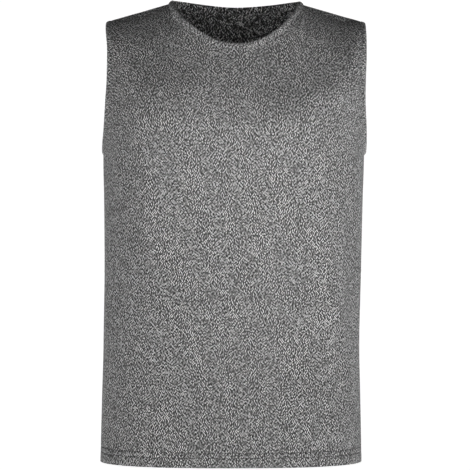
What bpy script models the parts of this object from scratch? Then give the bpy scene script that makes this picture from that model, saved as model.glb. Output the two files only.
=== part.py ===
"""A sleeveless crew-neck vest of thick marl-grey knit, filled out as on a wearer.

The origin lies between the two side-neck points, level with the top of the neckband there, where the
wearer's shoulders carry the vest. +Z is up, +X is the wearer's left and -Y is the front. Sizes are in
millimetres until the meshes are made.
"""
from collections import namedtuple

import bmesh
import bpy
import numpy as np

MM = 0.001
COLLECTION = "Knitted_Vest"

# Cloth
CLOTH_WALL = 2.0
HEM_WALL = 3.4
BAND_WALL = 2.6
SEAM_GAP = 0.3
KNIT_GREY = (0.19, 0.19, 0.19, 1.0)
BAND_GREY = (0.21, 0.21, 0.21, 1.0)
KNIT_ROUGHNESS = 0.95

# Heights from the origin, and the hem's turned-up allowance with the step that its edge makes inside
HEM_HEIGHT = -689.0
UNDERARM_HEIGHT = -233.0
HEM_ALLOWANCE = 24.0
HEM_STEP = 1.5

# Shoulders
NECK_HALF = 101.0
SIDE_NECK_HEIGHT = -5.5
SHOULDER_SLOPE = 0.294
RIDGE_SOFTNESS = 30.0
SHOULDER_ROUND = 60.0
ROUND = 2.0

# Neckline: how far it drops below the side-neck points, how square its curve is and how soft at its middle
NECK_DROP = {"front": 73.0, "back": 8.0}
NECK_SQUARENESS = {"front": 1.42, "back": 1.0}
NECK_SOFTNESS = 0.25

# Armhole: the share of the chest depth that its edge keeps at the shoulder tip, and how fast it opens
ARMHOLE_TOP_SHARE = 0.82
ARMHOLE_OPENING = 0.45

# Neckband and armhole bands
NECKBAND_WIDTH = 9.0
NECKBAND_STAND = 0.6
ARMBAND_WIDTH = 8.0
ARMBAND_FLARE = 0.12
BAND_PROUD = 0.4
BAND_CROWN = 0.5

# The figure's sections from the hem up: centre and half width across, depth before and behind the shoulders
Section = namedtuple("Section", "height centre half_width front back")
SECTIONS = (
    Section(-689, -8.3, 195.5, 121, 110),
    Section(-600, -8.0, 193.5, 119, 105),
    Section(-510, -7.6, 191.5, 118, 99),
    Section(-400, -5.5, 192.0, 120, 101),
    Section(-300, -4.7, 193.5, 123, 108),
    Section(-233, -4.2, 195.0, 125.5, 114),
    Section(-190, -2.4, 191.0, 124, 115),
    Section(-160, -2.0, 188.0, 117, 113),
    Section(-120, -0.3, 185.5, 100, 106),
    Section(-78, 0.6, 185.0, 80, 92),
    Section(-32, -1.2, 187.0, 60, 73),
    Section(20, 0.0, 187.0, 38, 50),
)
SECTION_SQUARENESS = {"front": 2.5, "back": 2.4}

# Soft folds, as lines on the cloth: distance from the centre line round the body and height at both ends,
# half width, and how far the cloth stands out of the figure (in where it is negative)
Fold = namedtuple("Fold", "across top low_across low half_width lift")
FOLDS = {
    "front": (
        Fold(-118, -95, -100, -150, 34, -4.0),
        Fold(78, -110, 92, -165, 36, -4.0),
        Fold(205, -135, 128, -190, 20, 3.5),
        Fold(-205, -80, -140, -172, 22, 2.5),
        Fold(-232, -200, -226, -350, 18, -4.0),
        Fold(-150, -200, -152, -520, 20, 2.0),
        Fold(185, -370, 212, -480, 18, -3.0),
        Fold(150, -360, 182, -500, 18, 2.5),
        Fold(-225, -520, -190, -560, 18, -3.0),
        Fold(60, -575, 165, -600, 18, -2.0),
        Fold(95, -610, 78, -680, 24, 2.0),
    ),
    "back": (
        Fold(-95, -90, -108, -170, 36, -3.5),
        Fold(102, -80, 96, -165, 34, -3.5),
        Fold(-190, -130, -120, -205, 22, 3.0),
        Fold(196, -150, 132, -215, 20, 3.0),
        Fold(-70, -360, -110, -560, 30, 3.0),
        Fold(48, -340, 70, -590, 28, 2.5),
        Fold(-10, -390, -28, -620, 30, -3.0),
        Fold(170, -300, 190, -470, 24, -2.5),
        Fold(-186, -260, -200, -430, 22, -2.5),
    ),
}
SEAM_CALM = 26.0

Panel = namedtuple("Panel", "grid normals")

# Grid of each panel, with a narrow strip of columns beside each side edge
SHOULDER_COLUMNS = 7
NECK_COLUMNS = 18
YOKE_ROWS = 14
BODY_ROWS = 16
HEM_ROWS = 3
UNDERARM_ROW = HEM_ROWS + BODY_ROWS
EDGE_STRIP = 3.0
LANES = 48
LANE_STEP = 0.004
SEAM_PASSES = 8
HEIGHT_STEP = 0.5
RIM_ANGLE = 0.7


def smooth(height, column):
    """A column of SECTIONS at any height, on a curve that never overshoots its rows."""
    at = np.array([row.height for row in SECTIONS], float)
    value = np.array([getattr(row, column) for row in SECTIONS], float)
    step = np.diff(at)
    rate = np.diff(value) / step
    slope = np.zeros(len(at))
    same_way = rate[1:] * rate[:-1] > 0
    weight_low = 2 * step[1:] + step[:-1]
    weight_high = step[1:] + 2 * step[:-1]
    safe_low = np.where(same_way, rate[:-1], 1)
    safe_high = np.where(same_way, rate[1:], 1)
    mean = (weight_low + weight_high) / (weight_low / safe_low + weight_high / safe_high)
    slope[1:-1] = np.where(same_way, mean, 0)
    slope[0] = rate[0]
    slope[-1] = rate[-1]
    height = np.clip(height, at[0], at[-1])
    row = np.clip(np.searchsorted(at, height, side="right") - 1, 0, len(step) - 1)
    part = (height - at[row]) / step[row]
    ease = part * part * (3 - 2 * part)
    return (
        value[row] * (1 - ease)
        + value[row + 1] * ease
        + step[row] * part * (1 - part) * ((1 - part) * slope[row] - part * slope[row + 1])
    )


def superellipse(share, squareness):
    """Height of a unit superellipse above its base, at a share of its half width."""
    return np.maximum(1 - np.abs(share) ** squareness, 0) ** (1 / squareness)


def shoulder_height(x):
    """Height of the shoulder line, carried on across the neck with a soft ridge."""
    reach = np.hypot(x, RIDGE_SOFTNESS) - np.hypot(NECK_HALF, RIDGE_SOFTNESS)
    return SIDE_NECK_HEIGHT - SHOULDER_SLOPE * reach


def armhole_share(height):
    """Share of the depth at the centre that the armhole edge keeps: none at the underarm."""
    tip = shoulder_height(smooth(SIDE_NECK_HEIGHT, "half_width"))
    climb = np.clip((height - UNDERARM_HEIGHT) / (tip - UNDERARM_HEIGHT), 0, 1)
    return ARMHOLE_TOP_SHARE * climb ** ARMHOLE_OPENING


def on_figure(side, lane, height):
    """Point of the cloth on a lane, from -1 on the wearer's right to 1 on the left, at a height."""
    squareness = SECTION_SQUARENESS[side]
    x = smooth(height, "centre") + smooth(height, "half_width") * lane
    over = np.clip((shoulder_height(x) - height) / SHOULDER_ROUND, 0, 1)
    rounded = superellipse(1 - over, ROUND)
    reach = superellipse(armhole_share(height), squareness)
    depth = smooth(height, side) * rounded * superellipse(reach * lane, squareness)
    away = -1 if side == "front" else 1
    return np.stack([x, away * (depth + SEAM_GAP / 2), height + 0 * x], axis=-1)


def corner_lane():
    """The lane that ends at the side-neck point."""
    return NECK_HALF / smooth(SIDE_NECK_HEIGHT, "half_width")


def softened(share):
    """A share from 0 to 1 with a flat start in place of a corner where its sign turns."""
    return (np.hypot(share, NECK_SOFTNESS) - NECK_SOFTNESS) / (np.hypot(1, NECK_SOFTNESS) - NECK_SOFTNESS)


def seam_height(lane):
    """Height at which a lane meets the shoulder line."""
    height = SIDE_NECK_HEIGHT + 0 * lane
    for _ in range(SEAM_PASSES):
        height = shoulder_height(smooth(height, "centre") + smooth(height, "half_width") * lane)
    return height


def top_height(side, lane):
    """Height at which a lane ends: on the shoulder seam or the neckline."""
    corner = corner_lane()
    right, left = seam_height(np.array([-corner, corner]))
    between = right + (left - right) * (lane / corner + 1) / 2
    shoulder = np.where(np.abs(lane) < corner, between, seam_height(lane))
    from_middle = softened(np.minimum(np.abs(lane) / corner, 1))
    return shoulder - NECK_DROP[side] * superellipse(from_middle, NECK_SQUARENESS[side])


def lane_stretches(side):
    """Lanes of one shoulder, the neckline and the other shoulder, from left to right as seen from outside."""
    bunched = (1 - np.cos(np.linspace(0, np.pi, LANES))) / 2
    ends = np.array([-1, -corner_lane(), corner_lane(), 1]) * (1 if side == "front" else -1)
    return [first + (last - first) * bunched for first, last in zip(ends, ends[1:])]


def spaced(line, distances):
    """Points at the given distances along a line of points."""
    run = np.concatenate([[0], np.cumsum(np.linalg.norm(np.diff(line, axis=0), axis=1))])
    return np.stack([np.interp(distances, run, line[:, axis]) for axis in range(3)], axis=-1)


def length(line):
    return float(np.linalg.norm(np.diff(line, axis=0), axis=1).sum())


def even_row(stretches):
    """One row of the panel's grid: even columns on each stretch, and a narrow one beside each side edge."""
    left, middle, right = stretches
    left_at = np.linspace(EDGE_STRIP, length(left), SHOULDER_COLUMNS + 1)
    right_at = np.linspace(0, length(right) - EDGE_STRIP, SHOULDER_COLUMNS + 1)
    middle_at = np.linspace(0, length(middle), NECK_COLUMNS + 1)
    return np.concatenate([
        spaced(left, np.concatenate([[0], left_at])),
        spaced(middle, middle_at)[1:-1],
        spaced(right, np.concatenate([right_at, [length(right)]])),
    ])


def body_heights():
    """Heights of the rows from the hem to the underarm."""
    hem = HEM_HEIGHT + np.array([0, HEM_ALLOWANCE / 2, HEM_ALLOWANCE, HEM_ALLOWANCE + HEM_STEP])
    return np.concatenate([hem[:-1], np.linspace(hem[-1], UNDERARM_HEIGHT, BODY_ROWS + 1)])


def yoke_rows(side):
    """Rows above the underarm, closer together at the underarm and over the shoulders."""
    rows = []
    for climb in (1 - np.cos(np.linspace(0, np.pi, YOKE_ROWS + 1)[1:])) / 2:
        stretches = []
        for lanes in lane_stretches(side):
            heights = UNDERARM_HEIGHT + (top_height(side, lanes) - UNDERARM_HEIGHT) * climb
            stretches.append(on_figure(side, lanes, heights))
        rows.append(even_row(stretches))
    return rows


def figure_normals(grid, side):
    """Unit directions out of the figure at each point of a panel's grid."""
    height = grid[:, :, 2]
    lane = (grid[:, :, 0] - smooth(height, "centre")) / smooth(height, "half_width")
    step = LANE_STEP if side == "front" else -LANE_STEP
    ahead = on_figure(side, np.clip(lane + step, -1, 1), height)
    behind = on_figure(side, np.clip(lane - step, -1, 1), height)
    above = on_figure(side, np.clip(lane, -1, 1), height + HEIGHT_STEP)
    below = on_figure(side, np.clip(lane, -1, 1), height - HEIGHT_STEP)
    return unit(np.cross(ahead - behind, above - below))


def unit(vectors):
    return vectors / np.linalg.norm(vectors, axis=-1, keepdims=True)


def calm(distance):
    """Rises smoothly from 0 at an edge to 1 inside it."""
    part = np.clip(distance / SEAM_CALM, 0, 1)
    return part * part * (3 - 2 * part)


def fold_lift(grid, side):
    """How far the soft folds lift each point out of the figure, dying away at the seams and edges."""
    steps = np.linalg.norm(np.diff(grid, axis=1), axis=2)
    run = np.concatenate([np.zeros((len(grid), 1)), np.cumsum(steps, axis=1)], axis=1)
    middle = grid.shape[1] // 2
    across = run - run[:, middle:middle + 1]
    height = grid[:, :, 2]
    lift = np.zeros(height.shape)
    for fold in FOLDS[side]:
        run_x = fold.low_across - fold.across
        run_z = fold.low - fold.top
        part = ((across - fold.across) * run_x + (height - fold.top) * run_z) / (run_x ** 2 + run_z ** 2)
        part = np.clip(part, 0, 1)
        apart = np.hypot(across - fold.across - part * run_x, height - fold.top - part * run_z)
        lift += fold.lift * np.exp(-((apart / fold.half_width) ** 2))
    to_edge = np.minimum(run, run[:, -1:] - run)
    to_top = np.linalg.norm(grid - grid[-1:], axis=2)
    return lift * calm(np.minimum(to_edge, to_top))


def make_panel(side):
    """The outside of the front or back panel, in rows from the hem up, with the directions out of it."""
    rows = []
    for height in body_heights():
        rows.append(even_row([on_figure(side, lanes, height + 0 * lanes) for lanes in lane_stretches(side)]))
    grid = np.array(rows + yoke_rows(side))
    normals = figure_normals(grid, side)
    square_to_seams(grid, normals)
    normals = unit(normals)
    return Panel(grid + normals * fold_lift(grid, side)[:, :, None], normals)


def square_to_seams(grid, normals):
    """Turns the directions along the side and shoulder seams square to them, as on the other panel."""
    normals[:UNDERARM_ROW + 1, (0, -1), 1] = 0
    corner = SHOULDER_COLUMNS + 1
    for shoulder in (slice(0, corner + 1), slice(-corner - 1, None)):
        x = grid[-1, shoulder, 0]
        slope = SHOULDER_SLOPE * x / np.hypot(x, RIDGE_SOFTNESS)
        normals[-1, shoulder] = np.stack([slope, 0 * x, 1 + 0 * x], axis=-1)


def cloth_material(name, colour):
    material = bpy.data.materials.new(f"{name}_knit")
    material.use_nodes = True
    shader = material.node_tree.nodes["Principled BSDF"]
    shader.inputs["Base Color"].default_value = colour
    shader.inputs["Roughness"].default_value = KNIT_ROUGHNESS
    shader.inputs["Metallic"].default_value = 0.0
    return material


def add_cloth(name, outer, inner, closed, colour, collection):
    """A wall of cloth lofted between two grids of points, whose rows close on themselves in a ring."""
    rows, columns, _ = outer.shape
    mesh = bpy.data.meshes.new(name)
    cloth = bmesh.new()
    outside = [[cloth.verts.new(point) for point in row] for row in outer * MM]
    inside = [[cloth.verts.new(point) for point in row] for row in inner * MM]
    for row in range(rows - 1):
        for column in range(columns if closed else columns - 1):
            follow = (column + 1) % columns
            for skin, turn in ((outside, 1), (inside, -1)):
                face = (skin[row][column], skin[row][follow], skin[row + 1][follow], skin[row + 1][column])
                cloth.faces.new(face[::turn])
    rims = [list(zip(outside[0], inside[0])), list(zip(outside[-1], inside[-1]))[::-1]]
    if closed:
        rims = [rim + rim[:1] for rim in rims]
    else:
        rims.append([(outside[row][-1], inside[row][-1]) for row in range(rows)])
        rims.append([(outside[row][0], inside[row][0]) for row in range(rows)][::-1])
    for rim in rims:
        for near, far in zip(rim, rim[1:]):
            cloth.faces.new((near[0], near[1], far[1], far[0]))
    cloth.to_mesh(mesh)
    cloth.free()
    mesh.shade_smooth()
    mesh.set_sharp_from_angle(angle=RIM_ANGLE)
    mesh.materials.append(cloth_material(name, colour))
    collection.objects.link(bpy.data.objects.new(name, mesh))


def add_panel(name, panel, collection):
    """The front or back panel, one wall thick, and thicker where its hem is turned up inside."""
    wall = np.full(len(panel.grid), CLOTH_WALL)
    wall[:HEM_ROWS] = HEM_WALL
    inner = panel.grid - panel.normals * wall[:, None, None]
    add_cloth(name, panel.grid, inner, False, KNIT_GREY, collection)


def ring_of(first, second):
    """A closed line along two edges that meet at both ends, with one point where they meet."""
    start = (first[0] + second[-1]) / 2
    turn = (first[-1] + second[0]) / 2
    return np.concatenate([[start], first[1:-1], [turn], second[1:-1]])


def add_band(name, seam, normals, lean, width, collection):
    """A narrow strip sewn along a closed seam line, a little proud of the cloth and slightly crowned."""
    along = unit(np.roll(seam, -1, axis=0) - np.roll(seam, 1, axis=0))
    ahead = unit(np.cross(normals, along))
    base = seam + ahead * SEAM_GAP
    leaning = unit(ahead + lean)
    faced = unit(np.cross(along, leaning))
    middle = base + leaning * width / 2
    edge = base + leaning * width
    lines = ((base, normals, 0.0), (middle, faced, BAND_CROWN), (edge, faced, 0.0))
    outer = np.array([line + facing * (BAND_PROUD + crown) for line, facing, crown in lines])
    inner = np.array([line + facing * (BAND_PROUD - BAND_WALL) for line, facing, _ in lines])
    add_cloth(name, outer, inner, True, BAND_GREY, collection)


def add_neckband(front, back, collection):
    """The band round the neck, which turns up from the shoulders more than it does at the front and back."""
    corner = SHOULDER_COLUMNS + 1
    neck = slice(corner, corner + NECK_COLUMNS + 1)
    seam = ring_of(front.grid[-1, neck], back.grid[-1, neck])
    normals = unit(ring_of(front.normals[-1, neck], back.normals[-1, neck]))
    stand = NECKBAND_STAND * np.abs(seam[:, :1]) / NECK_HALF
    add_band("neckband", seam, normals, stand * np.array([[0.0, 0.0, 1.0]]), NECKBAND_WIDTH, collection)


def add_armband(name, rising, falling, outwards, collection):
    """The band up one panel's armhole edge and down the other's, which flares a little at the underarm."""
    edges = [panel.grid[UNDERARM_ROW:, column] for panel, column in (rising, falling)]
    facing = [panel.normals[UNDERARM_ROW:, column] for panel, column in (rising, falling)]
    seam = ring_of(edges[0], edges[1][::-1])
    normals = unit(ring_of(facing[0], facing[1][::-1]))
    low = np.clip(2 * seam[:, 2:] / UNDERARM_HEIGHT - 1, 0, 1)
    flare = ARMBAND_FLARE * low * np.array([[outwards, 0.0, 0.0]])
    add_band(name, seam, normals, flare, ARMBAND_WIDTH, collection)


def main():
    for old in list(bpy.data.objects):
        bpy.data.objects.remove(old, do_unlink=True)
    collection = bpy.data.collections.new(COLLECTION)
    bpy.context.scene.collection.children.link(collection)
    front = make_panel("front")
    back = make_panel("back")
    add_panel("front", front, collection)
    add_panel("back", back, collection)
    add_neckband(front, back, collection)
    add_armband("armhole_band_right", (front, 0), (back, -1), -1, collection)
    add_armband("armhole_band_left", (back, 0), (front, -1), 1, collection)


main()
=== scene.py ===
"""The looks of a sleeveless crew-neck vest of thick marl-grey knit, filled out as on a wearer.

The frame is the part's own: its origin lies between the side-neck points, level with the top of the
neckband there, +Z is up, +X is the wearer's left and -Y is the front. Sizes are in millimetres until the
meshes are made. The panels and bands are thin shells on the figure that the part's solids follow, worked
out from the same sizes, with finer folds, rolled seams, the sewing and the knit added.
"""
import math
from collections import namedtuple

import bpy
import numpy as np
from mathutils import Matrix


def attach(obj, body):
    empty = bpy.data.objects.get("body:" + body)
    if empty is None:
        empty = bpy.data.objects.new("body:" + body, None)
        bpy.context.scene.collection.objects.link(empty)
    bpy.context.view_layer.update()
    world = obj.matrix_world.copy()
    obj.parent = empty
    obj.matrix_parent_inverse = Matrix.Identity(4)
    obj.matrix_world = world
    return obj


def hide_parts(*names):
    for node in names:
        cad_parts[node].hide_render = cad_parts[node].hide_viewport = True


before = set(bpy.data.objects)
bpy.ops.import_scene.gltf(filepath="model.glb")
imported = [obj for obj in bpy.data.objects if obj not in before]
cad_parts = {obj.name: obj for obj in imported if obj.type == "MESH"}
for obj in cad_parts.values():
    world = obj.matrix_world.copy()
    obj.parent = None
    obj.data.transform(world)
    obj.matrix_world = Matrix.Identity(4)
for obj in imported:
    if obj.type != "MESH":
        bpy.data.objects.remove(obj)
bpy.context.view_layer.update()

MM = 0.001
BODY = "root"

# Cloth: its walls, and the gap between pieces, too narrow for light to pass
CLOTH_WALL = 2.0
HEM_WALL = 3.4
BAND_WALL = 2.6
SEAM_GAP = 0.02

# Heights from the origin, the hem's turned-up allowance, and the height of the step at that one's edge
HEM_HEIGHT = -689.0
UNDERARM_HEIGHT = -233.0
HEM_ALLOWANCE = 24.0
HEM_STEP = 1.5

# Shoulders: the side-neck points, the slope down from them, how soft its ridge is at the middle, and the
# depth and shape of the cloth's rounding over it
NECK_HALF = 101.0
SIDE_NECK_HEIGHT = -5.5
SHOULDER_SLOPE = 0.294
RIDGE_SOFTNESS = 30.0
SHOULDER_ROUND = 60.0
ROUND = 2.0

# Neckline: how far it drops below the side-neck points, how square it is, and how soft at its lowest point
NECK_DROP = {"front": 73.0, "back": 8.0}
NECK_SQUARENESS = {"front": 1.42, "back": 1.0}
NECK_SOFTNESS = 0.25

# Armhole: the share of the depth that its edge keeps at the top, and how fast it opens from the underarm
ARMHOLE_TOP_SHARE = 0.82
ARMHOLE_OPENING = 0.45

# Neckband: its width, how far it stands proud of the cloth and leans up at the shoulders, and behind them how
# much more it leans, how much wider it is and over which distance both grow
NECKBAND_WIDTH = 9.0
NECKBAND_PROUD = 0.5
NECKBAND_STAND = 0.5
BACK_STAND = 0.35
BACK_RISE = 1.0
BACK_REACH = 30.0

# Armhole bands: how wide they are, how far they stand proud of the cloth and flare outwards at the underarm
ARMBAND_WIDTH = 8.0
ARMBAND_PROUD = -0.2
ARMBAND_FLARE = {"left": 0.3, "right": -0.05}

# Every band: the crown of its cloth, how far it is tucked under the panel's edge and how much deeper it is
# there, the shares of its width at which its seat and that depth end and its fold starts, how squarely seat
# and fold are rounded, the lines across it, and over which distance its free edge is smoothed
BAND_CROWN = 0.8
BAND_TUCK = 0.3
BAND_ALLOWANCE = 1.2
SEAT_ENDS = 0.2
ALLOWANCE_ENDS = 1 / 3
FOLD_STARTS = 0.5
SEAT_ROUNDNESS = 2
FOLD_ROUNDNESS = 4
BAND_LINES = 13
EDGE_REACH = 9.0

# The figure's sections from the hem up: centre and half width across, depth before and behind the shoulders
Section = namedtuple("Section", "height centre half_width front back")
SECTIONS = (
    Section(-689, -8.3, 195.5, 121, 110),
    Section(-600, -8.0, 193.5, 119, 105),
    Section(-510, -7.6, 191.5, 118, 99),
    Section(-400, -5.5, 192.0, 120, 101),
    Section(-300, -4.7, 193.5, 123, 108),
    Section(-233, -4.2, 195.0, 125.5, 114),
    Section(-190, -2.4, 191.0, 124, 115),
    Section(-160, -2.0, 188.0, 117, 113),
    Section(-120, -0.3, 185.5, 100, 106),
    Section(-78, 0.6, 185.0, 80, 92),
    Section(-32, -1.2, 187.0, 60, 73),
    Section(20, 0.0, 187.0, 38, 50),
)
SECTION_SQUARENESS = {"front": 2.5, "back": 2.4}

# Folds and creases, as lines on the cloth: distance from the centre line round the body and height at both
# ends, half width, how far the cloth stands out of the figure (in where it is negative), and how much of
# the line's length is taken up by its fading ends
Fold = namedtuple("Fold", "across top low_across low half_width lift fade")
FOLDS = {
    "front": (
        Fold(-154, -43, -126, -134, 32, -6.0, 0),
        Fold(171, -51, 34, -120, 38, -2.7, 0),
        Fold(211, -104, 102, -166, 32, 6.0, 0.2),
        Fold(-219, -71, -102, -160, 25, 6.0, 0.2),
        Fold(-174, -182, -45, -159, 53, 6.0, 0.25),
        Fold(-63, -162, 57, -168, 31, -2.6, 0.3),
        Fold(46, -188, 144, -188, 34, 6.0, 0.25),
        Fold(-218, -186, -211, -362, 17, -1.7, 0.15),
        Fold(-132, -213, -118, -522, 14, 3.6, 0.2),
        Fold(-191, -229, -175, -485, 22, -2.0, 0.25),
        Fold(185, -280, 206, -542, 18, -4.1, 0.2),
        Fold(131, -350, 166, -503, 18, 5.5, 0.25),
        Fold(101, -273, 154, -381, 19, 3.5, 0.25),
        Fold(-240, -519, -190, -547, 12, -0.9, 0.2),
        Fold(65, -568, 161, -603, 16, 6.0, 0.2),
        Fold(102, -575, 120, -660, 19, 5.1, 0.25),
        Fold(130, -595, 140, -646, 9, -3.9, 0.25),
        Fold(146, -615, 177, -663, 13, 4.0, 0.25),
        Fold(-39, -57, -52, -117, 27, -0.7, 0.2),
        Fold(89, -63, 76, -122, 31, 1.1, 0.2),
        Fold(-3, -64, -4, -139, 30, -1.2, 0.2),
        Fold(-194, -104, -181, -132, 14, -1.2, 0.2),
        Fold(191, -59, 168, -116, 15, 3.0, 0.2),
        Fold(-156, -37, -81, -44, 35, -6.0, 0.2),
        Fold(179, -32, 97, -42, 45, -6.0, 0.2),
        Fold(-170, -652, 170, -652, 18, 2.0, 0.25),
    ),
    "back": (
        Fold(-150, -76, -112, -160, 40, -6.0, 0),
        Fold(158, -80, 100, -158, 38, -6.0, 0),
        Fold(-212, -126, -124, -200, 20, 5.0, 0.2),
        Fold(214, -120, 132, -206, 20, 5.0, 0.2),
        Fold(-142, -204, -40, -190, 24, 3.0, 0.25),
        Fold(30, -194, 128, -202, 22, 3.0, 0.25),
        Fold(-70, -340, -116, -570, 24, 3.0, 0.25),
        Fold(48, -320, 78, -600, 24, 2.8, 0.25),
        Fold(-10, -390, -30, -630, 26, -3.2, 0.25),
        Fold(150, -290, 186, -480, 20, -3.4, 0.2),
        Fold(-184, -256, -204, -440, 20, -3.4, 0.2),
        Fold(118, -410, 160, -560, 16, 2.6, 0.25),
        Fold(-150, -480, -176, -620, 15, 2.6, 0.25),
    ),
}
CREASES = {
    "front": (
        Fold(148, -545, 196, -562, 6, -0.9, 0.5),
        Fold(140, -563, 204, -582, 7, 0.9, 0.5),
        Fold(150, -584, 210, -600, 6, -0.9, 0.5),
        Fold(178, -604, 216, -622, 7, 0.8, 0.5),
        Fold(180, -626, 215, -640, 6, -0.7, 0.5),
        Fold(-60, -528, 40, -540, 9, -0.9, 0.5),
        Fold(-96, -558, 10, -566, 8, 0.8, 0.5),
        Fold(-50, -584, 50, -596, 9, -0.9, 0.5),
        Fold(-168, -505, -110, -530, 8, 0.9, 0.5),
        Fold(-186, -560, -120, -574, 7, -0.9, 0.5),
        Fold(-150, -596, -84, -612, 8, 0.9, 0.5),
        Fold(-110, -436, -30, -446, 9, -0.8, 0.5),
        Fold(-20, -404, 70, -418, 9, 0.7, 0.5),
        Fold(10, -470, 96, -484, 9, -0.8, 0.5),
        Fold(-96, -640, -40, -628, 8, -0.8, 0.5),
        Fold(20, -630, 70, -648, 8, 0.8, 0.5),
        Fold(-214, -610, -180, -626, 8, -0.8, 0.5),
        Fold(150, -150, 212, -124, 8, 1.0, 0.5),
        Fold(-206, -122, -160, -150, 8, 0.8, 0.5),
        Fold(-236, -236, -200, -262, 7, -1.2, 0.5),
        Fold(226, -206, 190, -236, 9, -1.6, 0.5),
        Fold(-60, -92, -28, -112, 8, 0.6, 0.5),
        Fold(70, -92, 32, -114, 8, 0.6, 0.5),
    ),
    "back": (
        Fold(-150, -500, -90, -520, 8, -0.9, 0.5),
        Fold(-160, -535, -84, -552, 8, 0.9, 0.5),
        Fold(60, -470, 150, -488, 9, -0.9, 0.5),
        Fold(74, -512, 160, -524, 8, 0.8, 0.5),
        Fold(-40, -430, 60, -440, 10, -0.8, 0.5),
        Fold(-30, -458, 46, -464, 9, 0.7, 0.5),
        Fold(-230, -236, -196, -264, 7, -1.2, 0.5),
        Fold(220, -238, 192, -266, 7, -1.2, 0.5),
        Fold(-120, -58, -70, -84, 10, 0.8, 0.5),
        Fold(124, -60, 66, -86, 10, 0.8, 0.5),
        Fold(-140, -610, -60, -622, 9, 0.7, 0.5),
        Fold(40, -600, 130, -616, 8, -0.7, 0.5),
        Fold(-30, -560, 36, -574, 9, -0.8, 0.5),
        Fold(164, -590, 214, -604, 7, 0.8, 0.5),
    ),
}

# Distance over which folds and creases fade towards a seam, and over which the cloth rolls in at it
SEAM_CALM = 16.0
SEAM_ROLL = 1.6

# How much lower the wearer's left shoulder hangs, over which distance that fades, and the height of its start
LEFT_DROP = 1.8
LEFT_DROP_REACH = 80.0
LEFT_DROP_BASE = -160.0

# Sewing: the two needle rows above the hem, the groove that each presses into the cloth, how many times the
# groove's depth the cloth is thinner there, and the stitches' length, spacing and radius
NEEDLE_ROWS = (14.3, 21.8)
NEEDLE_GROOVE = 1.2
NEEDLE_GROOVE_HALF = 1.4
GROOVE_PINCH = 1.6
STITCH_LENGTH = 2.9
STITCH_PITCH = 3.4
THREAD = 0.6

# Knit: a stitch's width and height, how far a leg climbs across half a stitch, and the height of its relief
WALE = 3.0
COURSE = 1.85
LEG_CLIMB = 0.95
KNIT_RELIEF = 0.4

# A panel: its points, the directions out of it, and each point's distances across and up the cloth
Panel = namedtuple("Panel", "grid normals across up")

# Grid of each panel: its columns and rows, the column of the side-neck point, and a narrow strip beside each
# side edge
SHOULDER_COLUMNS = 40
NECK_COLUMNS = 88
YOKE_ROWS = 84
BODY_ROWS = 136
HEM_ROWS = 26
UNDERARM_ROW = HEM_ROWS + BODY_ROWS
NECK_COLUMN = SHOULDER_COLUMNS + 1
EDGE_STRIP = 0.6

# How finely the figure is followed: lanes, their bunching towards the sides, heights, steps and passes
LANES = 160
LANE_BUNCHING = 2.5
WALE_HEIGHTS = 64
LANE_STEP = 0.004
HEIGHT_STEP = 0.5
SEAM_PASSES = 8

# Height above which wales run straight up, and the angle, in radians, from which an edge is shaded sharp
YOKE_FLAT = -75.0
RIM_ANGLE = 0.9


def smooth(height, column):
    """A column of SECTIONS at any height, on a curve that never overshoots its rows."""
    at = np.array([row.height for row in SECTIONS], float)
    value = np.array([getattr(row, column) for row in SECTIONS], float)
    step = np.diff(at)
    rate = np.diff(value) / step
    slope = np.zeros(len(at))
    same_way = rate[1:] * rate[:-1] > 0
    weight_low = 2 * step[1:] + step[:-1]
    weight_high = step[1:] + 2 * step[:-1]
    safe_low = np.where(same_way, rate[:-1], 1)
    safe_high = np.where(same_way, rate[1:], 1)
    mean = (weight_low + weight_high) / (weight_low / safe_low + weight_high / safe_high)
    slope[1:-1] = np.where(same_way, mean, 0)
    slope[0] = rate[0]
    slope[-1] = rate[-1]
    height = np.clip(height, at[0], at[-1])
    row = np.clip(np.searchsorted(at, height, side="right") - 1, 0, len(step) - 1)
    part = (height - at[row]) / step[row]
    ease = part * part * (3 - 2 * part)
    return (
        value[row] * (1 - ease)
        + value[row + 1] * ease
        + step[row] * part * (1 - part) * ((1 - part) * slope[row] - part * slope[row + 1])
    )


def superellipse(share, squareness):
    """Height of a unit superellipse above its base, at a share of its half width."""
    return np.maximum(1 - np.abs(share) ** squareness, 0) ** (1 / squareness)


def shoulder_height(x):
    """Height of the shoulder line, carried on across the neck with a soft ridge."""
    reach = np.hypot(x, RIDGE_SOFTNESS) - np.hypot(NECK_HALF, RIDGE_SOFTNESS)
    return SIDE_NECK_HEIGHT - SHOULDER_SLOPE * reach


def armhole_share(height):
    """Share of the depth at the centre that the armhole edge keeps: none at the underarm."""
    tip = shoulder_height(smooth(SIDE_NECK_HEIGHT, "half_width"))
    climb = np.clip((height - UNDERARM_HEIGHT) / (tip - UNDERARM_HEIGHT), 0, 1)
    return ARMHOLE_TOP_SHARE * climb ** ARMHOLE_OPENING


def on_figure(side, lane, height):
    """Point of the cloth on a lane, from -1 on the wearer's right to 1 on the left, at a height."""
    squareness = SECTION_SQUARENESS[side]
    x = smooth(height, "centre") + smooth(height, "half_width") * lane
    over = np.clip((shoulder_height(x) - height) / SHOULDER_ROUND, 0, 1)
    rounded = superellipse(1 - over, ROUND)
    reach = superellipse(armhole_share(height), squareness)
    depth = smooth(height, side) * rounded * superellipse(reach * lane, squareness)
    away = -1 if side == "front" else 1
    return np.stack([x, away * (depth + SEAM_GAP / 2), height + 0 * x], axis=-1)


def corner_lane():
    """The lane that ends at the side-neck point."""
    return NECK_HALF / smooth(SIDE_NECK_HEIGHT, "half_width")


def softened(share):
    """A share from 0 to 1 with a flat start in place of a corner where its sign turns."""
    rise = np.hypot(share, NECK_SOFTNESS) - NECK_SOFTNESS
    return rise / (np.hypot(1, NECK_SOFTNESS) - NECK_SOFTNESS)


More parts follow.
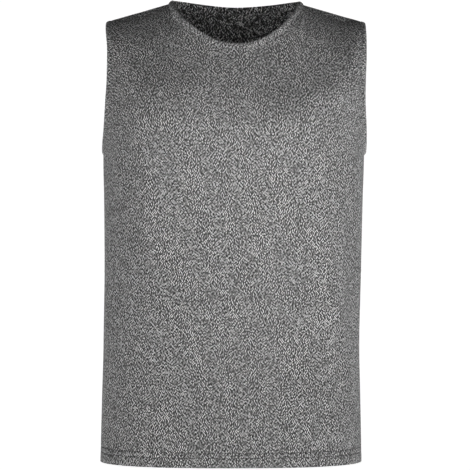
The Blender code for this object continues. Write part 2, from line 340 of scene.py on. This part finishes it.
def seam_height(lane):
    """Height at which a lane meets the shoulder line."""
    height = SIDE_NECK_HEIGHT + 0 * lane
    for _ in range(SEAM_PASSES):
        height = shoulder_height(smooth(height, "centre") + smooth(height, "half_width") * lane)
    return height


def top_height(side, lane):
    """Height at which a lane ends: on the shoulder seam or the neckline."""
    corner = corner_lane()
    right, left = seam_height(np.array([-corner, corner]))
    between = right + (left - right) * (lane / corner + 1) / 2
    shoulder = np.where(np.abs(lane) < corner, between, seam_height(lane))
    from_middle = softened(np.minimum(np.abs(lane) / corner, 1))
    return shoulder - NECK_DROP[side] * superellipse(from_middle, NECK_SQUARENESS[side])


def lane_stretches(side):
    """Lanes of one shoulder, the neckline and the other shoulder, from left to right as seen from outside."""
    shares = (1 - np.cos(np.linspace(0, np.pi, LANES))) / 2
    ends = np.array([-1, -corner_lane(), corner_lane(), 1]) * (1 if side == "front" else -1)
    return [first + (last - first) * shares for first, last in zip(ends, ends[1:])]


def runs(line):
    """Distance along a line of points at each of them."""
    return np.concatenate([[0], np.cumsum(np.linalg.norm(np.diff(line, axis=0), axis=1))])


def spaced(line, distances, values=None):
    """Points at the given distances along a line of points, or the values that its points have there."""
    run = runs(line)
    values = line if values is None else values
    return np.stack([np.interp(distances, run, values[:, axis]) for axis in range(3)], axis=-1)


def even_row(stretches):
    """One row of the panel's grid: even columns on each stretch, and a narrow one beside each side edge."""
    left, middle, right = stretches
    left_at = np.linspace(EDGE_STRIP, runs(left)[-1], SHOULDER_COLUMNS + 1)
    right_at = np.linspace(0, runs(right)[-1] - EDGE_STRIP, SHOULDER_COLUMNS + 1)
    middle_at = np.linspace(0, runs(middle)[-1], NECK_COLUMNS + 1)
    return np.concatenate([
        spaced(left, np.concatenate([[0], left_at])),
        spaced(middle, middle_at)[1:-1],
        spaced(right, np.concatenate([right_at, [runs(right)[-1]]])),
    ])


def body_heights():
    """Heights of the rows from the hem to the underarm."""
    hem = HEM_HEIGHT + np.linspace(0, HEM_ALLOWANCE + HEM_STEP, HEM_ROWS + 1)
    return np.concatenate([hem[:-1], np.linspace(hem[-1], UNDERARM_HEIGHT, BODY_ROWS + 1)])


def yoke_rows(side):
    """Rows above the underarm, closer together at the underarm and over the shoulders."""
    rows = []
    for climb in (1 - np.cos(np.linspace(0, np.pi, YOKE_ROWS + 1)[1:])) / 2:
        stretches = []
        for lanes in lane_stretches(side):
            heights = UNDERARM_HEIGHT + (top_height(side, lanes) - UNDERARM_HEIGHT) * climb
            stretches.append(on_figure(side, lanes, heights))
        rows.append(even_row(stretches))
    return rows


def unit(vectors):
    """The same directions, each of length one."""
    return vectors / np.linalg.norm(vectors, axis=-1, keepdims=True)


def figure_normals(grid, side):
    """Unit directions out of the figure at each point of a panel's grid."""
    height = grid[:, :, 2]
    lane = (grid[:, :, 0] - smooth(height, "centre")) / smooth(height, "half_width")
    step = LANE_STEP if side == "front" else -LANE_STEP
    ahead = on_figure(side, np.clip(lane + step, -1, 1), height)
    behind = on_figure(side, np.clip(lane - step, -1, 1), height)
    above = on_figure(side, np.clip(lane, -1, 1), height + HEIGHT_STEP)
    below = on_figure(side, np.clip(lane, -1, 1), height - HEIGHT_STEP)
    return unit(np.cross(ahead - behind, above - below))


def square_to_seams(grid, normals):
    """Turns the directions along the side and shoulder seams square to them, as on the other panel."""
    normals[:UNDERARM_ROW + 1, (0, -1), 1] = 0
    for shoulder in (slice(0, NECK_COLUMN + 1), slice(-NECK_COLUMN - 1, None)):
        x = grid[-1, shoulder, 0]
        slope = SHOULDER_SLOPE * x / np.hypot(x, RIDGE_SOFTNESS)
        normals[-1, shoulder] = np.stack([slope, 0 * x, 1 + 0 * x], axis=-1)


def eased(part):
    """A share from 0 to 1 with a level start and end."""
    part = np.clip(part, 0, 1)
    return part * part * (3 - 2 * part)


def fold_lift(across, height, folds):
    """How far the folds lift each point out of the figure."""
    lift = np.zeros(height.shape)
    for fold in folds:
        run_x = fold.low_across - fold.across
        run_z = fold.low - fold.top
        part = ((across - fold.across) * run_x + (height - fold.top) * run_z) / (run_x ** 2 + run_z ** 2)
        part = np.clip(part, 0, 1)
        apart = np.hypot(across - fold.across - part * run_x, height - fold.top - part * run_z)
        fading = eased(np.minimum(part, 1 - part) / fold.fade) if fold.fade else 1.0
        lift += fold.lift * fading * np.exp(-((apart / fold.half_width) ** 2))
    return lift


def bunched(lane, power):
    """Lanes drawn towards the side edges. One over the power draws them back."""
    return np.sign(lane) * (1 - (1 - np.abs(lane)) ** power)


def wale_distance(grid, side):
    """Distance of each point from the centre wale, round the body at its height or below the shoulders."""
    heights = np.linspace(HEM_HEIGHT, YOKE_FLAT, WALE_HEIGHTS)
    lanes = bunched(np.linspace(-1, 1, LANES + 1), LANE_BUNCHING)
    rounds = np.array([runs(on_figure(side, lanes, height + 0 * lanes)) for height in heights])
    rounds -= rounds[:, LANES // 2][:, None]
    height = np.clip(grid[:, :, 2], HEM_HEIGHT, YOKE_FLAT)
    half = smooth(grid[:, :, 2], "half_width")
    lane = np.clip((grid[:, :, 0] - smooth(grid[:, :, 2], "centre")) / half, -1, 1)
    row = (height - HEM_HEIGHT) / (YOKE_FLAT - HEM_HEIGHT) * (WALE_HEIGHTS - 1)
    column = (1 + bunched(lane, 1 / LANE_BUNCHING)) / 2 * LANES
    low = np.clip(row.astype(int), 0, WALE_HEIGHTS - 2)
    left = np.clip(column.astype(int), 0, LANES - 1)
    row -= low
    column -= left
    below = rounds[low, left] * (1 - column) + rounds[low, left + 1] * column
    above = rounds[low + 1, left] * (1 - column) + rounds[low + 1, left + 1] * column
    return below * (1 - row) + above * row


def make_panel(side):
    """The outside of the front or back panel, in rows from the hem up, with the directions out of it."""
    rows = []
    for height in body_heights():
        stretches = [on_figure(side, lanes, height + 0 * lanes) for lanes in lane_stretches(side)]
        rows.append(even_row(stretches))
    grid = np.array(rows + yoke_rows(side))
    normals = figure_normals(grid, side)
    square_to_seams(grid, normals)
    normals = unit(normals)
    across = wale_distance(grid, side)
    to_left = eased(grid[:, :, 0] / LEFT_DROP_REACH)
    to_shoulder = eased((grid[:, :, 2] - LEFT_DROP_BASE) / LEFT_DROP_REACH)
    grid[:, :, 2] -= LEFT_DROP * to_left * to_shoulder
    run = np.array([runs(row) for row in grid])
    height = grid[:, :, 2]
    up = np.zeros(height.shape)
    up[1:] = np.cumsum(np.linalg.norm(np.diff(grid[:, :, 1:], axis=0), axis=2), axis=0)
    to_edge = np.minimum(run, run[:, -1:] - run)
    to_top = np.linalg.norm(grid - grid[-1:], axis=2)
    inside = np.minimum(to_edge, to_top)
    lift = fold_lift(across, height, FOLDS[side] + CREASES[side]) * eased(inside / SEAM_CALM)
    lift -= needle_grooves(height)
    rolled = np.clip(inside / SEAM_ROLL, 0, 1)
    lift -= SEAM_ROLL * (1 - np.sqrt(rolled * (2 - rolled)))
    return Panel(grid + normals * lift[:, :, None], normals, across, up)


def needle_grooves(height):
    """Depth of the grooves that the two needle rows press in above the hem."""
    from_rows = [(height - HEM_HEIGHT - row) / NEEDLE_GROOVE_HALF for row in NEEDLE_ROWS]
    return sum(NEEDLE_GROOVE * np.exp(-(apart ** 2)) for apart in from_rows)


def grid_faces(rows, columns, closed, offset, turned):
    """Four-sided faces of a grid of points, one row of points after another."""
    across = columns if closed else columns - 1
    row, column = np.meshgrid(np.arange(rows - 1), np.arange(across), indexing="ij")
    follow = (column + 1) % columns
    corners = np.stack([
        row * columns + column,
        row * columns + follow,
        (row + 1) * columns + follow,
        (row + 1) * columns + column,
    ], axis=-1).reshape(-1, 4) + offset
    return corners[:, ::-1] if turned else corners


def rim_faces(outer_line, inner_line):
    """Faces across the wall, between matching lines of points on its two skins."""
    return np.stack([outer_line[:-1], outer_line[1:], inner_line[1:], inner_line[:-1]], axis=-1)


def linked(name, data):
    """A new object in the scene."""
    made = bpy.data.objects.new(name, data)
    bpy.context.scene.collection.objects.link(made)
    return made


def cloth_object(name, outer, inner, closed, across, up, materials):
    """A wall of cloth between two grids of points, with its lengths along and across the knit as a UV map.

    The second material is for the inner skin.
    """
    rows, columns, _ = outer.shape
    count = rows * columns
    number = np.arange(count).reshape(rows, columns)
    faces = [
        grid_faces(rows, columns, closed, 0, False),
        grid_faces(rows, columns, closed, count, True),
    ]
    edges = [number[0], number[-1][::-1]]
    if closed:
        edges = [np.append(edge, edge[:1]) for edge in edges]
    else:
        edges += [number[:, -1], number[::-1, 0]]
    faces += [rim_faces(edge, edge + count) for edge in edges]
    skin = len(faces[0])
    faces = np.concatenate(faces)
    mesh = bpy.data.meshes.new(name)
    points = np.concatenate([outer.reshape(-1, 3), inner.reshape(-1, 3)]) * MM
    mesh.from_pydata(points, [], faces.tolist())
    cloth = np.stack([across, up], axis=-1).reshape(-1, 2) * MM
    coordinates = cloth[faces.ravel() % count]
    if closed:
        around = 2 * across[0, -1] - across[0, -2]
        coordinates = wrap_round(coordinates, faces, count, columns, around * MM)
    layer = mesh.uv_layers.new(name="cloth")
    layer.data.foreach_set("uv", coordinates.astype(np.float32).ravel())
    mesh.shade_smooth()
    mesh.set_sharp_from_angle(angle=RIM_ANGLE)
    for material in materials:
        mesh.materials.append(material)
    inner_skin = np.zeros(len(faces), np.int32)
    inner_skin[skin:2 * skin] = 1
    mesh.polygons.foreach_set("material_index", inner_skin)
    return linked(name, mesh)


def wrap_round(coordinates, faces, count, columns, around):
    """Carries the length round a ring on past its start, in the faces that close it."""
    column = (faces % count) % columns
    closing = (column == 0) & (column.max(axis=1, keepdims=True) == columns - 1)
    coordinates = coordinates.copy()
    coordinates[closing.ravel(), 0] += around
    return coordinates


def add_panel(name, panel, materials):
    """The front or back panel, one wall thick, and thicker where its hem is turned up inside."""
    height = panel.grid[:, :, 2]
    doubled = eased((HEM_HEIGHT + HEM_ALLOWANCE + HEM_STEP - height) / HEM_STEP)
    wall = CLOTH_WALL + (HEM_WALL - CLOTH_WALL) * doubled - GROOVE_PINCH * needle_grooves(height)
    inner = panel.grid - panel.normals * wall[:, :, None]
    return cloth_object(name, panel.grid, inner, False, panel.across, panel.up, materials)


def ring_of(first, second):
    """A closed line along two edges that meet at both ends, with one point where they meet."""
    start = (first[0] + second[-1]) / 2
    turn = (first[-1] + second[0]) / 2
    return np.concatenate([[start], first[1:-1], [turn], second[1:-1]])


def rounded_ring(ring):
    """A closed line with its corners rounded: each point is drawn to its neighbours along the line."""
    step = np.linalg.norm(np.roll(ring, -1, axis=0) - ring, axis=1)
    at = np.cumsum(step) - step
    apart = np.abs(at[:, None] - at)
    apart = np.minimum(apart, step.sum() - apart)
    weight = np.exp(-((apart / EDGE_REACH) ** 2)) * (step + np.roll(step, 1))
    return weight @ ring / weight.sum(axis=1, keepdims=True)


def rounding(share, roundness):
    """How far a rounded edge lies back from a square one, from 0 at its start to its whole radius at 1."""
    return 1 - math.sqrt(1 - max(share, 0) ** roundness)


def add_band(name, seam, normals, lean, width, proud, materials):
    """A narrow folded strip sewn along a closed seam line, a little proud of the cloth and rounded over.

    Returns it with the width, over the fold, and the length of the strip that shows.
    """
    along = unit(np.roll(seam, -1, axis=0) - np.roll(seam, 1, axis=0))
    ahead = unit(np.cross(normals, along))
    base = seam - ahead * BAND_TUCK
    leaning = unit(ahead + lean)
    edge = rounded_ring(base + leaning * width)
    faced = unit(np.cross(along, leaning))
    shares = np.linspace(0, 1, BAND_LINES)
    outer = []
    inner = []
    for share in shares:
        line = base + (edge - base) * share
        facing = unit(normals * (1 - share) + faced * share)
        crown = BAND_CROWN * 4 * share * (1 - share)
        fold = BAND_WALL / 2 * rounding((share - FOLD_STARTS) / (1 - FOLD_STARTS), FOLD_ROUNDNESS)
        seat = BAND_WALL / 2 * rounding(1 - share / SEAT_ENDS, SEAT_ROUNDNESS)
        allowance = BAND_ALLOWANCE * max(1 - share / ALLOWANCE_ENDS, 0)
        outer.append(line + facing * (proud + crown - fold - seat))
        inner.append(line + facing * (proud - BAND_WALL + fold - allowance))
    across = np.broadcast_to(runs(seam), (BAND_LINES, len(seam)))
    up = shares[:, None] * np.linalg.norm(edge - base, axis=1)
    band = cloth_object(name, np.array(outer), np.array(inner), True, across, up, materials)
    middle = (base + edge) / 2
    length = np.linalg.norm(np.roll(middle, -1, axis=0) - middle, axis=1).sum()
    over_fold = up[-1].mean() + BAND_WALL
    return band, (float(over_fold) * MM, float(length) * MM)


def add_neckband(front, back, materials):
    """The band round the neck, which turns up from the shoulders more than it does at the front and back."""
    neck = slice(NECK_COLUMN, NECK_COLUMN + NECK_COLUMNS + 1)
    seam = ring_of(front.grid[-1, neck], back.grid[-1, neck])
    normals = unit(ring_of(front.normals[-1, neck], back.normals[-1, neck]))
    seam = seam + normals * SEAM_ROLL
    behind = eased(seam[:, 1:2] / BACK_REACH)
    stand = NECKBAND_STAND * np.abs(seam[:, :1]) / NECK_HALF + BACK_STAND * behind
    width = NECKBAND_WIDTH + BACK_RISE * behind
    upright = stand * np.array([[0.0, 0.0, 1.0]])
    return add_band("neckband_knit", seam, normals, upright, width, NECKBAND_PROUD, materials)


def add_armband(name, rising, falling, flare, materials):
    """The band up one panel's armhole edge and down the other's, which flares a little at the underarm."""
    edges = [panel.grid[UNDERARM_ROW:, column] for panel, column in (rising, falling)]
    facing = [panel.normals[UNDERARM_ROW:, column] for panel, column in (rising, falling)]
    seam = ring_of(edges[0], edges[1][::-1])
    normals = unit(ring_of(facing[0], facing[1][::-1]))
    seam = seam + normals * SEAM_ROLL
    low = np.clip(2 * seam[:, 2:] / UNDERARM_HEIGHT - 1, 0, 1)
    outwards = flare * low * np.array([[1.0, 0.0, 0.0]])
    return add_band(name, seam, normals, outwards, ARMBAND_WIDTH, ARMBAND_PROUD, materials)


class Nodes:
    """Short calls that build a node tree: values or other nodes' outputs go in, and an output comes out."""

    def __init__(self, tree):
        self.tree = tree

    def make(self, kind, inputs, output=0, **settings):
        node = self.tree.nodes.new(kind)
        for name, value in settings.items():
            setattr(node, name, value)
        for key, value in inputs.items():
            if isinstance(value, bpy.types.NodeSocket):
                self.tree.links.new(value, node.inputs[key])
            else:
                node.inputs[key].default_value = value
        return node.outputs[output]

    def math(self, operation, *values, clamp=False):
        return self.make("ShaderNodeMath", dict(enumerate(values)), operation=operation, use_clamp=clamp)

    def join(self, x, y, z=0.0):
        return self.make("ShaderNodeCombineXYZ", {"X": x, "Y": y, "Z": z})

    def total(self, first, *others):
        for other in others:
            first = self.math("ADD", first, other)
        return first

    def noise(self, vector, scale, detail=2.0):
        inputs = {"Vector": vector, "Scale": scale, "Detail": detail, "Roughness": 0.5}
        return self.make("ShaderNodeTexNoise", inputs, output="Fac")

    def spread(self, noise, middle, width):
        """A noise that runs from 0 to 1, moved to lie round a middle value."""
        return self.math("MULTIPLY_ADD", noise, width, middle - width / 2)

    def ramp(self, value, low, high, to_low, to_high):
        inputs = {"Value": value, "From Min": low, "From Max": high, "To Min": to_low, "To Max": to_high}
        return self.make("ShaderNodeMapRange", inputs, interpolation_type="SMOOTHSTEP")

    def grey(self, value, socket):
        """Links a value to a colour socket, as a grey."""
        self.tree.links.new(self.join(value, value, value), socket)

    def bump(self, height, depth, strength, socket):
        """Links the relief of a height, with its depth in millimetres, to a normal socket."""
        inputs = {"Height": height, "Distance": depth * MM, "Strength": strength}
        self.tree.links.new(self.make("ShaderNodeBump", inputs, output="Normal"), socket)


def new_material(name, settings):
    """A material with its shader's sockets set, the builder of its nodes, and the shader's inputs."""
    material = bpy.data.materials.new(name)
    material.use_nodes = True
    shader = material.node_tree.nodes["Principled BSDF"]
    for socket, value in settings.items():
        shader.inputs[socket].default_value = value
    return material, Nodes(material.node_tree), shader.inputs


# Marl: the grey of the darkest and lightest yarn, how rare the light yarn is on the outside and, as painted
# shade, on the inside, how strongly a leg differs from those round it, how far stitches stray from their row
# and column, and how dark the painted shade in the gaps between legs is
MARL_DARK = 0.01
MARL_LIGHT = 0.735
OUTSIDE_POWER = 2.7
SHADED_INSIDE_POWER = 6.0
MARL_APART = 1.1
WOBBLE = 0.05
GAP_SHADE = 0.95

# Brightness of the bands and of the inside, whose darker mix is painted shade, next to 1 for the outside
BAND_BRIGHTNESS = 1.12
SHADED_INSIDE_BRIGHTNESS = 1.1

# Legs: their height at the ends next to 1 in the middle, how squarely they rise from there, and the height
# from which a leg is out of the gap's shade
LEG_END = 0.4
LEG_SQUARENESS = 4.0
LEG_LIT = 0.7

# Noises: how many a metre, and how strong. They sway the wales and courses, fray the yarn and make its grey
# a little uneven. The last is the strength of the whole relief.
WALE_SWAY = 90.0
COURSE_SWAY = 110.0
FIBRES = 2600.0
FIBRE_SHADE = 0.5
FIBRE_RELIEF = 0.25
PATCHES = 45.0
PATCH_SHADE = 0.04
KNIT_BUMP = 0.6


def leg_chance(nodes, column, row, leg_side):
    """A random number for one leg of one stitch."""
    leg = nodes.join(column, row, leg_side)
    return nodes.make("ShaderNodeTexWhiteNoise", {"Vector": leg}, output="Value", noise_dimensions="3D")


def knit_material(name, brightness, power):
    """Marl-grey jersey: V-shaped stitches in relief, each leg of its own mix of dark and light yarn."""
    material, nodes, shader = new_material(name, {
        "Roughness": 0.95,
        "Specular IOR Level": 0.08,
        "Sheen Weight": 0.03,
        "Sheen Roughness": 0.6,
    })
    cloth = nodes.make("ShaderNodeUVMap", {}, uv_map="cloth")
    split = nodes.make("ShaderNodeSeparateXYZ", {"Vector": cloth}).node
    sideways = nodes.spread(nodes.noise(cloth, WALE_SWAY), 0.0, 2 * WOBBLE)
    upward = nodes.spread(nodes.noise(cloth, COURSE_SWAY), 0.0, 2 * WOBBLE)
    wale = nodes.math("ADD", nodes.math("DIVIDE", split.outputs["X"], WALE * MM), sideways)
    course = nodes.math("ADD", nodes.math("DIVIDE", split.outputs["Y"], COURSE * MM), upward)

    # Which leg of which stitch this is
    column = nodes.math("FLOOR", wale)
    inside = nodes.math("SUBTRACT", wale, column)
    from_rib = nodes.math("ABSOLUTE", nodes.math("MULTIPLY_ADD", inside, 2.0, -1.0))
    leg_side = nodes.math("GREATER_THAN", inside, 0.5)
    along = nodes.math("SUBTRACT", course, nodes.math("MULTIPLY", from_rib, LEG_CLIMB))
    row = nodes.math("FLOOR", along)
    part = nodes.math("SUBTRACT", along, row)

    # Its yarn, which differs from that of the four legs round it
    other_side = nodes.math("SUBTRACT", 1.0, leg_side)
    beside = nodes.math("ADD", column, nodes.math("MULTIPLY_ADD", leg_side, 2.0, -1.0))
    neighbours = nodes.total(
        leg_chance(nodes, column, nodes.math("ADD", row, 1.0), leg_side),
        leg_chance(nodes, column, nodes.math("SUBTRACT", row, 1.0), leg_side),
        leg_chance(nodes, column, row, other_side),
        leg_chance(nodes, beside, row, other_side),
    )
    own = nodes.math("ADD", leg_chance(nodes, column, row, leg_side), MARL_APART / 2)
    chance = nodes.math("MULTIPLY_ADD", neighbours, -MARL_APART / 4, own, clamp=True)
    marl = nodes.math("MULTIPLY_ADD", nodes.math("POWER", chance, power), MARL_LIGHT, MARL_DARK)

    # Its rounded relief, and the painted shade in the gaps round it
    across_leg = nodes.math("MULTIPLY_ADD", part, 2.0, -1.0)
    rounded = nodes.math("SUBTRACT", 1.0, nodes.math("MULTIPLY", across_leg, across_leg))
    to_end = nodes.math("ABSOLUTE", nodes.math("MULTIPLY_ADD", from_rib, 2.0, -1.0))
    from_end = nodes.math("SUBTRACT", 1.0, nodes.math("POWER", to_end, LEG_SQUARENESS))
    rise = nodes.math("MULTIPLY_ADD", from_end, 1 - LEG_END, LEG_END)
    leg_height = nodes.math("MULTIPLY", nodes.math("SQRT", rounded), rise)
    lit = nodes.math("DIVIDE", leg_height, LEG_LIT, clamp=True)
    shade = nodes.math("MULTIPLY_ADD", lit, GAP_SHADE, 1 - GAP_SHADE)

    fibre = nodes.noise(cloth, FIBRES)
    hair = nodes.spread(fibre, 1.0, FIBRE_SHADE)
    patches = nodes.spread(nodes.noise(cloth, PATCHES, 3.0), 1.0, PATCH_SHADE)
    grey = nodes.math("MULTIPLY", nodes.math("MULTIPLY", marl, shade), nodes.math("MULTIPLY", patches, hair))
    nodes.grey(nodes.math("MULTIPLY", grey, brightness, clamp=True), shader["Base Color"])
    relief = nodes.math("MULTIPLY_ADD", fibre, FIBRE_RELIEF, leg_height)
    nodes.bump(relief, KNIT_RELIEF, KNIT_BUMP, shader["Normal"])
    return material


# Thread: how fine its twist is, how deep, and the greys between the plies, darker there as painted shade, and
# on them
TWISTS = 1800.0
TWIST_RELIEF = 0.1
TWIST_RANGE = (0.35, 0.65)
THREAD_GREYS = (0.015, 0.04)


def thread_material():
    """Grey polyester sewing thread, with the ply's twist."""
    material, nodes, shader = new_material("sewing_thread", {"Roughness": 0.6, "Specular IOR Level": 0.3})
    place = nodes.make("ShaderNodeTexCoord", {}, output="Object")
    twist = nodes.noise(place, TWISTS, 1.0)
    # Darker where the twist's relief is low: painted shade between the plies
    nodes.grey(nodes.ramp(twist, *TWIST_RANGE, *THREAD_GREYS), shader["Base Color"])
    nodes.bump(twist, TWIST_RELIEF, 1.0, shader["Normal"])
    return material


# A stitch: its rings of points and, in thread radii, how far it thins and dips towards its ends and rises
# in the middle, and how late it does so
STITCH_RINGS = 7
STITCH_SIDES = 6
STITCH_THINS = 0.35
STITCH_DIPS = 2.2
STITCH_RISES = 0.5
STITCH_BEND = 3


def stitch_shape():
    """Points and faces of one stitch: a short thread that dips into the cloth at both ends."""
    points = []
    for at in np.linspace(-1, 1, STITCH_RINGS):
        bend = abs(at) ** STITCH_BEND
        radius = THREAD * (1 - STITCH_THINS * bend)
        middle = THREAD * (STITCH_RISES - STITCH_DIPS * bend)
        for turn in range(STITCH_SIDES):
            angle = 2 * math.pi * turn / STITCH_SIDES
            across = radius * math.cos(angle)
            points.append((at * STITCH_LENGTH / 2, across, middle + radius * math.sin(angle)))
    faces = grid_faces(STITCH_RINGS, STITCH_SIDES, True, 0, False).tolist()
    last = (STITCH_RINGS - 1) * STITCH_SIDES
    faces.append(list(range(STITCH_SIDES))[::-1])
    faces.append(list(range(last, last + STITCH_SIDES)))
    return np.array(points), faces


def add_hem_stitching(name, panel, material):
    """Two rows of straight stitches round one panel's hem, each stitch laid along the cloth in its groove."""
    shape, shape_faces = stitch_shape()
    points = []
    faces = []
    for needle_row in NEEDLE_ROWS:
        above = panel.grid[:HEM_ROWS + 1, :, 2] - HEM_HEIGHT
        upper = int(np.argmax(above[:, 0] > needle_row))
        share = (needle_row - above[upper - 1, 0]) / (above[upper, 0] - above[upper - 1, 0])
        line = panel.grid[upper - 1] * (1 - share) + panel.grid[upper] * share
        length = runs(line)[-1]
        centres = np.arange(STITCH_PITCH, length - STITCH_PITCH / 2, STITCH_PITCH)
        at = spaced(line, centres)
        out = unit(spaced(line, centres, panel.normals[upper]))
        ahead = spaced(line, centres + 1) - at
        ahead = unit(ahead - out * (ahead * out).sum(axis=1, keepdims=True))
        axes = np.stack([ahead, np.cross(out, ahead), out], axis=1)
        for centre, axis in zip(at, axes):
            start = len(points) * len(shape)
            points.append(centre + shape @ axis)
            faces += [[start + corner for corner in face] for face in shape_faces]
    mesh = bpy.data.meshes.new(name)
    mesh.from_pydata(np.concatenate(points) * MM, [], faces)
    mesh.shade_smooth()
    mesh.materials.append(material)
    return linked(name, mesh)


# Stage, in metres: a floor with painted light, a glow that grows towards its far edge as on a lit cove, and
# its glow near by
FLOOR_SIDES = 96
FLOOR_HEIGHT = -1.45
FLOOR_REACH = 60.0
GLOW_STARTS = 2.0
GLOW_FULL = 7.5
GLOW_NEAR = 0.45


def add_floor():
    """A plain pale floor with a painted glow, as far below the vest as under a standing wearer."""
    bpy.ops.mesh.primitive_circle_add(
        vertices=FLOOR_SIDES, radius=FLOOR_REACH, fill_type="NGON", location=(0, 0, FLOOR_HEIGHT)
    )
    floor = bpy.context.object
    floor.name = "floor"
    material, nodes, shader = new_material("floor", {
        "Base Color": (0.8, 0.8, 0.8, 1.0),
        "Roughness": 0.9,
        "Specular IOR Level": 0.2,
        "Emission Color": (1.0, 1.0, 1.0, 1.0),
    })
    place = nodes.make("ShaderNodeTexCoord", {}, output="Object")
    from_middle = nodes.make("ShaderNodeVectorMath", {"Vector": place}, output="Value", operation="LENGTH")
    # Painted light: the floor's glow, dimmer near the vest and full towards its far edge
    glow = nodes.ramp(from_middle, GLOW_STARTS, GLOW_FULL, GLOW_NEAR, 1.0)
    nodes.tree.links.new(glow, shader["Emission Strength"])
    floor.data.materials.append(material)


# Studio: the sines of the elevations at which its cove ends and its ceiling starts, and their brightness
COVE_ENDS = 0.115
CEILING_STARTS = 0.22
COVE_GREY = 1.03
CEILING_GREY = 0.05


def add_world():
    """A white studio cove round the horizon, dim overhead."""
    world = bpy.data.worlds.new("studio")
    bpy.context.scene.world = world
    world.use_nodes = True
    nodes = Nodes(world.node_tree)
    direction = nodes.make("ShaderNodeTexCoord", {}, output="Generated")
    up = nodes.make("ShaderNodeSeparateXYZ", {"Vector": direction}, output="Z")
    cove = nodes.ramp(up, COVE_ENDS, CEILING_STARTS, COVE_GREY, CEILING_GREY)
    nodes.grey(cove, world.node_tree.nodes["Background"].inputs["Color"])


def add_light(name, place, aim_height, size, power):
    """A square soft light that faces the vest's middle at a height."""
    light = bpy.data.lights.new(name, "AREA")
    light.size = size
    light.energy = power
    lamp = linked(name, light)
    lamp.location = place
    toward = np.array((0.0, 0.0, aim_height)) - np.array(place)
    lamp.rotation_euler = (
        math.acos(-toward[2] / np.linalg.norm(toward)),
        0.0,
        math.atan2(toward[1], toward[0]) - math.pi / 2,
    )
    lamp.visible_camera = False


# Soft lights, in metres and watts: name, place, height that they face, side and power. Those behind the vest
# nearly mirror those before it, which light its two sides unevenly, as in the photo.
LAMPS = (
    ("chest", (0.0, -0.5, -0.27), -0.27, 0.15, 0.33),
    ("neck", (0.0, -0.45, -0.15), -0.15, 0.15, 0.24),
    ("low_left", (0.6, -0.8, -0.95), -0.3, 0.4, 2.65),
    ("low_right", (-0.6, -0.8, -0.95), -0.3, 0.4, 2.6),
    ("arm_left", (0.5, -0.5, -0.4), -0.2, 0.3, 1.57),
    ("arm_right", (-0.5, -0.5, -0.4), -0.2, 0.3, 0.35),
    ("back", (0.0, 0.5, -0.27), -0.27, 0.15, 0.33),
    ("nape", (0.0, 0.45, -0.15), -0.15, 0.15, 0.24),
    ("back_low_left", (0.6, 0.8, -0.95), -0.3, 0.4, 2.6),
    ("back_low_right", (-0.6, 0.8, -0.95), -0.3, 0.4, 2.6),
    ("back_arm_left", (0.5, 0.5, -0.4), -0.2, 0.3, 1.1),
    ("back_arm_right", (-0.5, 0.5, -0.4), -0.2, 0.3, 1.1),
)

# Camera: level, square on to the front, in metres, with the lens and sensor in millimetres
CAMERA_PLACE = (-0.00225, -3.2, -0.352)
CAMERA_LENS = 163.4
SENSOR_WIDTH = 36.0
FARTHEST_SEEN = 200.0


def add_camera():
    """The scene's camera."""
    camera = bpy.data.cameras.new("camera")
    camera.lens = CAMERA_LENS
    camera.sensor_width = SENSOR_WIDTH
    camera.clip_end = FARTHEST_SEEN
    holder = linked("camera", camera)
    holder.location = CAMERA_PLACE
    holder.rotation_euler = (math.pi / 2, 0.0, 0.0)
    bpy.context.scene.camera = holder


def main():
    """Builds the dressed vest, attaches its pieces to the body and sets the stage."""
    bpy.context.scene.view_settings.view_transform = "Standard"
    knit = knit_material("marl_knit", 1.0, OUTSIDE_POWER)
    band_knit = knit_material("band_knit", BAND_BRIGHTNESS, OUTSIDE_POWER)
    # The inner skins: the same knit with rarer light yarn, as painted shade inside the vest
    shaded_inside_knit = knit_material("shaded_inside_knit", SHADED_INSIDE_BRIGHTNESS, SHADED_INSIDE_POWER)
    thread = thread_material()
    panels = {side: make_panel(side) for side in ("front", "back")}
    for side, panel in panels.items():
        cloth = add_panel(f"{side}_knit", panel, (knit, shaded_inside_knit))
        stitches = add_hem_stitching(f"{side}_hem_stitching", panel, thread)
        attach(cloth, BODY)
        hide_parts(side)
        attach(stitches, BODY)
    front, back = panels["front"], panels["back"]
    band_skins = (band_knit, shaded_inside_knit)
    bands = {
        "neckband": add_neckband(front, back, band_skins),
        "armhole_band_right": add_armband(
            "armhole_band_right_knit", (front, 0), (back, -1), ARMBAND_FLARE["right"], band_skins
        ),
        "armhole_band_left": add_armband(
            "armhole_band_left_knit", (back, 0), (front, -1), ARMBAND_FLARE["left"], band_skins
        ),
    }
    for node, (band, strip) in bands.items():
        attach(band, BODY)
        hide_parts(node)
    add_floor()
    add_world()
    for lamp in LAMPS:
        add_light(*lamp)
    add_camera()


main()
